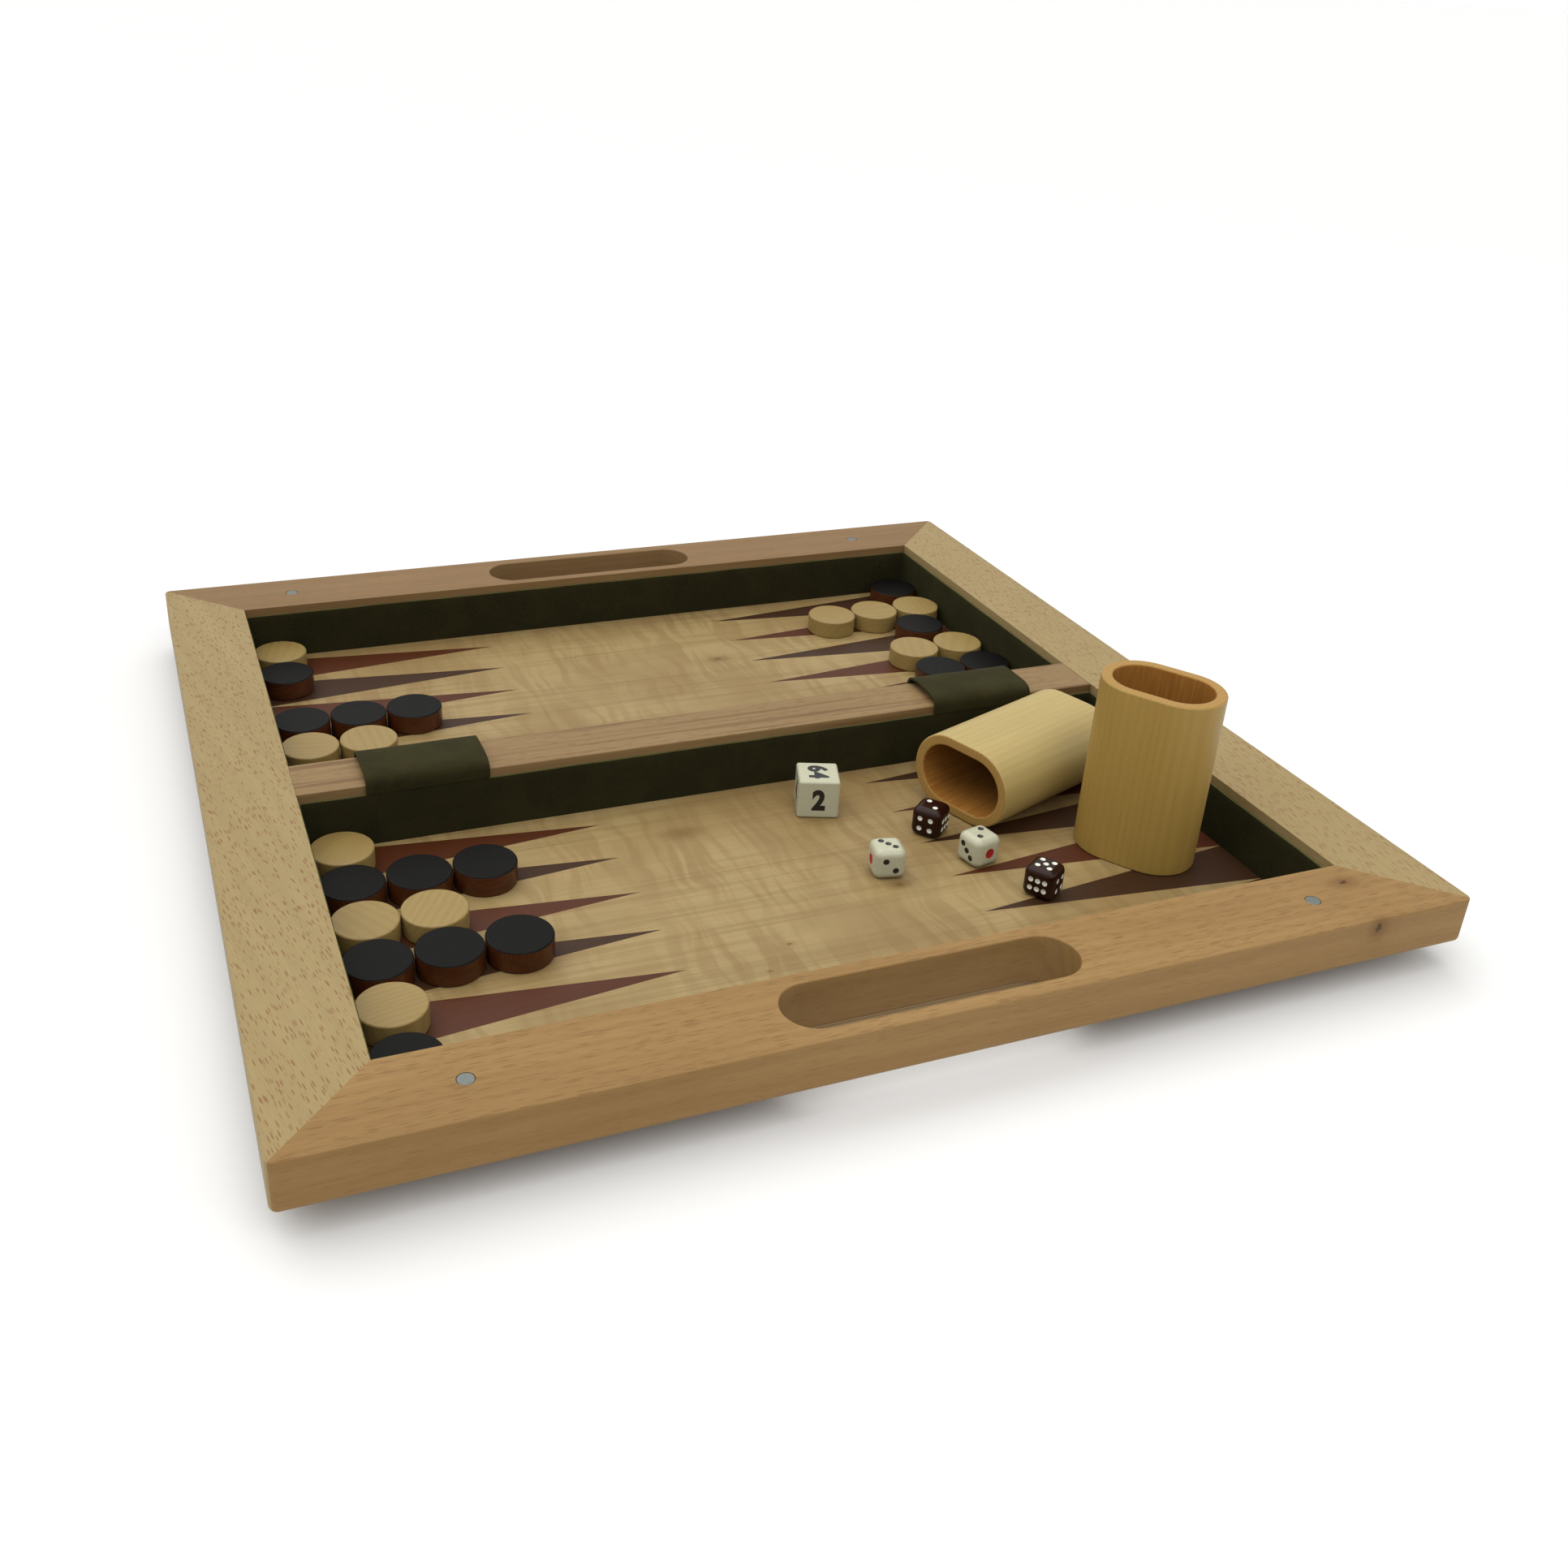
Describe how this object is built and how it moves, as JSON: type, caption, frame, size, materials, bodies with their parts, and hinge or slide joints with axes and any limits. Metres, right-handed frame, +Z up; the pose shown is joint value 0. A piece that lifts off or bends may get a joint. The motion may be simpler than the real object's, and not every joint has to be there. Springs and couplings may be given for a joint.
{
  "type": "backgammon set",
  "caption": "Wooden tabletop backgammon tray with felt-lined wells, inlaid points, suede straps, checkers, dice, doubling cube and oval dice cups.",
  "frame": {"origin": "middle of the tray's footprint, on the surface that it stands on", "axes": "+X to the right along the front rail, +Y back across the two wells, +Z up"},
  "size_m": [0.468, 0.459, 0.0865],
  "materials": {
    "orange_beech": "satin oiled",
    "pale_beech": "satin oiled",
    "plywood": "plain",
    "curly_maple": "satin lacquer",
    "green_felt": "felt nap",
    "olive_suede": "suede nap",
    "magnet_nickel": "nickel plated",
    "light_wood": "satin",
    "dark_wood": "satin",
    "cup_wood": "satin",
    "white_plastic": "gloss",
    "brown_plastic": "gloss"
  },
  "bodies": {
    "tray": {"back_field": "curly_maple", "back_left_magnet": "magnet_nickel", "back_plinth_strip": "plywood", "back_rail": "orange_beech", "back_right_magnet": "magnet_nickel", "back_well_felt": "green_felt", "base_panel": "plywood", "centre_bar": "orange_beech", "front_field": "curly_maple", "front_left_magnet": "magnet_nickel", "front_plinth_strip": "plywood", "front_rail": "orange_beech", "front_right_magnet": "magnet_nickel", "front_well_felt": "green_felt", "left_plinth_strip": "plywood", "left_rail": "pale_beech", "left_strap": "olive_suede", "right_plinth_strip": "plywood", "right_rail": "pale_beech", "right_strap": "olive_suede"},
    "back_brown_die": {"back_brown_die": "brown_plastic"},
    "dark_checker_01": {"dark_checker_01": "dark_wood"},
    "dark_checker_02": {"dark_checker_02": "dark_wood"},
    "dark_checker_03": {"dark_checker_03": "dark_wood"},
    "dark_checker_04": {"dark_checker_04": "dark_wood"},
    "dark_checker_05": {"dark_checker_05": "dark_wood"},
    "dark_checker_06": {"dark_checker_06": "dark_wood"},
    "dark_checker_07": {"dark_checker_07": "dark_wood"},
    "dark_checker_08": {"dark_checker_08": "dark_wood"},
    "dark_checker_09": {"dark_checker_09": "dark_wood"},
    "dark_checker_10": {"dark_checker_10": "dark_wood"},
    "dark_checker_11": {"dark_checker_11": "dark_wood"},
    "dark_checker_12": {"dark_checker_12": "dark_wood"},
    "dark_checker_13": {"dark_checker_13": "dark_wood"},
    "dark_checker_14": {"dark_checker_14": "dark_wood"},
    "dark_checker_15": {"dark_checker_15": "dark_wood"},
    "doubling_cube": {"doubling_cube": "white_plastic"},
    "front_brown_die": {"front_brown_die": "brown_plastic"},
    "left_white_die": {"left_white_die": "white_plastic"},
    "light_checker_01": {"light_checker_01": "light_wood"},
    "light_checker_02": {"light_checker_02": "light_wood"},
    "light_checker_03": {"light_checker_03": "light_wood"},
    "light_checker_04": {"light_checker_04": "light_wood"},
    "light_checker_05": {"light_checker_05": "light_wood"},
    "light_checker_06": {"light_checker_06": "light_wood"},
    "light_checker_07": {"light_checker_07": "light_wood"},
    "light_checker_08": {"light_checker_08": "light_wood"},
    "light_checker_09": {"light_checker_09": "light_wood"},
    "light_checker_10": {"light_checker_10": "light_wood"},
    "light_checker_11": {"light_checker_11": "light_wood"},
    "light_checker_12": {"light_checker_12": "light_wood"},
    "light_checker_13": {"light_checker_13": "light_wood"},
    "light_checker_14": {"light_checker_14": "light_wood"},
    "light_checker_15": {"light_checker_15": "light_wood"},
    "lying_cup": {"lying_cup": "cup_wood"},
    "right_white_die": {"right_white_die": "white_plastic"},
    "standing_cup": {"standing_cup": "cup_wood"}
  },
  "joints": [
    {"name": "lift_back_brown_die", "type": "slide", "parent": "tray", "child": "back_brown_die", "axis": [0, 0, 1], "range_m": [0, 0.09]},
    {"name": "lift_dark_checker_01", "type": "slide", "parent": "tray", "child": "dark_checker_01", "axis": [0, 0, 1], "range_m": [0, 0.09]},
    {"name": "lift_dark_checker_02", "type": "slide", "parent": "tray", "child": "dark_checker_02", "axis": [0, 0, 1], "range_m": [0, 0.09]},
    {"name": "lift_dark_checker_03", "type": "slide", "parent": "tray", "child": "dark_checker_03", "axis": [0, 0, 1], "range_m": [0, 0.09]},
    {"name": "lift_dark_checker_04", "type": "slide", "parent": "tray", "child": "dark_checker_04", "axis": [0, 0, 1], "range_m": [0, 0.09]},
    {"name": "lift_dark_checker_05", "type": "slide", "parent": "tray", "child": "dark_checker_05", "axis": [0, 0, 1], "range_m": [0, 0.09]},
    {"name": "lift_dark_checker_06", "type": "slide", "parent": "tray", "child": "dark_checker_06", "axis": [0, 0, 1], "range_m": [0, 0.09]},
    {"name": "lift_dark_checker_07", "type": "slide", "parent": "tray", "child": "dark_checker_07", "axis": [0, 0, 1], "range_m": [0, 0.09]},
    {"name": "lift_dark_checker_08", "type": "slide", "parent": "tray", "child": "dark_checker_08", "axis": [0, 0, 1], "range_m": [0, 0.09]},
    {"name": "lift_dark_checker_09", "type": "slide", "parent": "tray", "child": "dark_checker_09", "axis": [0, 0, 1], "range_m": [0, 0.09]},
    {"name": "lift_dark_checker_10", "type": "slide", "parent": "tray", "child": "dark_checker_10", "axis": [0, 0, 1], "range_m": [0, 0.09]},
    {"name": "lift_dark_checker_11", "type": "slide", "parent": "tray", "child": "dark_checker_11", "axis": [0, 0, 1], "range_m": [0, 0.09]},
    {"name": "lift_dark_checker_12", "type": "slide", "parent": "tray", "child": "dark_checker_12", "axis": [0, 0, 1], "range_m": [0, 0.09]},
    {"name": "lift_dark_checker_13", "type": "slide", "parent": "tray", "child": "dark_checker_13", "axis": [0, 0, 1], "range_m": [0, 0.09]},
    {"name": "lift_dark_checker_14", "type": "slide", "parent": "tray", "child": "dark_checker_14", "axis": [0, 0, 1], "range_m": [0, 0.09]},
    {"name": "lift_dark_checker_15", "type": "slide", "parent": "tray", "child": "dark_checker_15", "axis": [0, 0, 1], "range_m": [0, 0.09]},
    {"name": "lift_doubling_cube", "type": "slide", "parent": "tray", "child": "doubling_cube", "axis": [0, 0, 1], "range_m": [0, 0.09]},
    {"name": "lift_front_brown_die", "type": "slide", "parent": "tray", "child": "front_brown_die", "axis": [0, 0, 1], "range_m": [0, 0.09]},
    {"name": "lift_left_white_die", "type": "slide", "parent": "tray", "child": "left_white_die", "axis": [0, 0, 1], "range_m": [0, 0.09]},
    {"name": "lift_light_checker_01", "type": "slide", "parent": "tray", "child": "light_checker_01", "axis": [0, 0, 1], "range_m": [0, 0.09]},
    {"name": "lift_light_checker_02", "type": "slide", "parent": "tray", "child": "light_checker_02", "axis": [0, 0, 1], "range_m": [0, 0.09]},
    {"name": "lift_light_checker_03", "type": "slide", "parent": "tray", "child": "light_checker_03", "axis": [0, 0, 1], "range_m": [0, 0.09]},
    {"name": "lift_light_checker_04", "type": "slide", "parent": "tray", "child": "light_checker_04", "axis": [0, 0, 1], "range_m": [0, 0.09]},
    {"name": "lift_light_checker_05", "type": "slide", "parent": "tray", "child": "light_checker_05", "axis": [0, 0, 1], "range_m": [0, 0.09]},
    {"name": "lift_light_checker_06", "type": "slide", "parent": "tray", "child": "light_checker_06", "axis": [0, 0, 1], "range_m": [0, 0.09]},
    {"name": "lift_light_checker_07", "type": "slide", "parent": "tray", "child": "light_checker_07", "axis": [0, 0, 1], "range_m": [0, 0.09]},
    {"name": "lift_light_checker_08", "type": "slide", "parent": "tray", "child": "light_checker_08", "axis": [0, 0, 1], "range_m": [0, 0.09]},
    {"name": "lift_light_checker_09", "type": "slide", "parent": "tray", "child": "light_checker_09", "axis": [0, 0, 1], "range_m": [0, 0.09]},
    {"name": "lift_light_checker_10", "type": "slide", "parent": "tray", "child": "light_checker_10", "axis": [0, 0, 1], "range_m": [0, 0.09]},
    {"name": "lift_light_checker_11", "type": "slide", "parent": "tray", "child": "light_checker_11", "axis": [0, 0, 1], "range_m": [0, 0.09]},
    {"name": "lift_light_checker_12", "type": "slide", "parent": "tray", "child": "light_checker_12", "axis": [0, 0, 1], "range_m": [0, 0.09]},
    {"name": "lift_light_checker_13", "type": "slide", "parent": "tray", "child": "light_checker_13", "axis": [0, 0, 1], "range_m": [0, 0.09]},
    {"name": "lift_light_checker_14", "type": "slide", "parent": "tray", "child": "light_checker_14", "axis": [0, 0, 1], "range_m": [0, 0.09]},
    {"name": "lift_light_checker_15", "type": "slide", "parent": "tray", "child": "light_checker_15", "axis": [0, 0, 1], "range_m": [0, 0.09]},
    {"name": "lift_lying_cup", "type": "slide", "parent": "tray", "child": "lying_cup", "axis": [0, 0, 1], "range_m": [0, 0.09]},
    {"name": "lift_right_white_die", "type": "slide", "parent": "tray", "child": "right_white_die", "axis": [0, 0, 1], "range_m": [0, 0.09]},
    {"name": "lift_standing_cup", "type": "slide", "parent": "tray", "child": "standing_cup", "axis": [0, 0, 1], "range_m": [0, 0.09]}
  ]
}
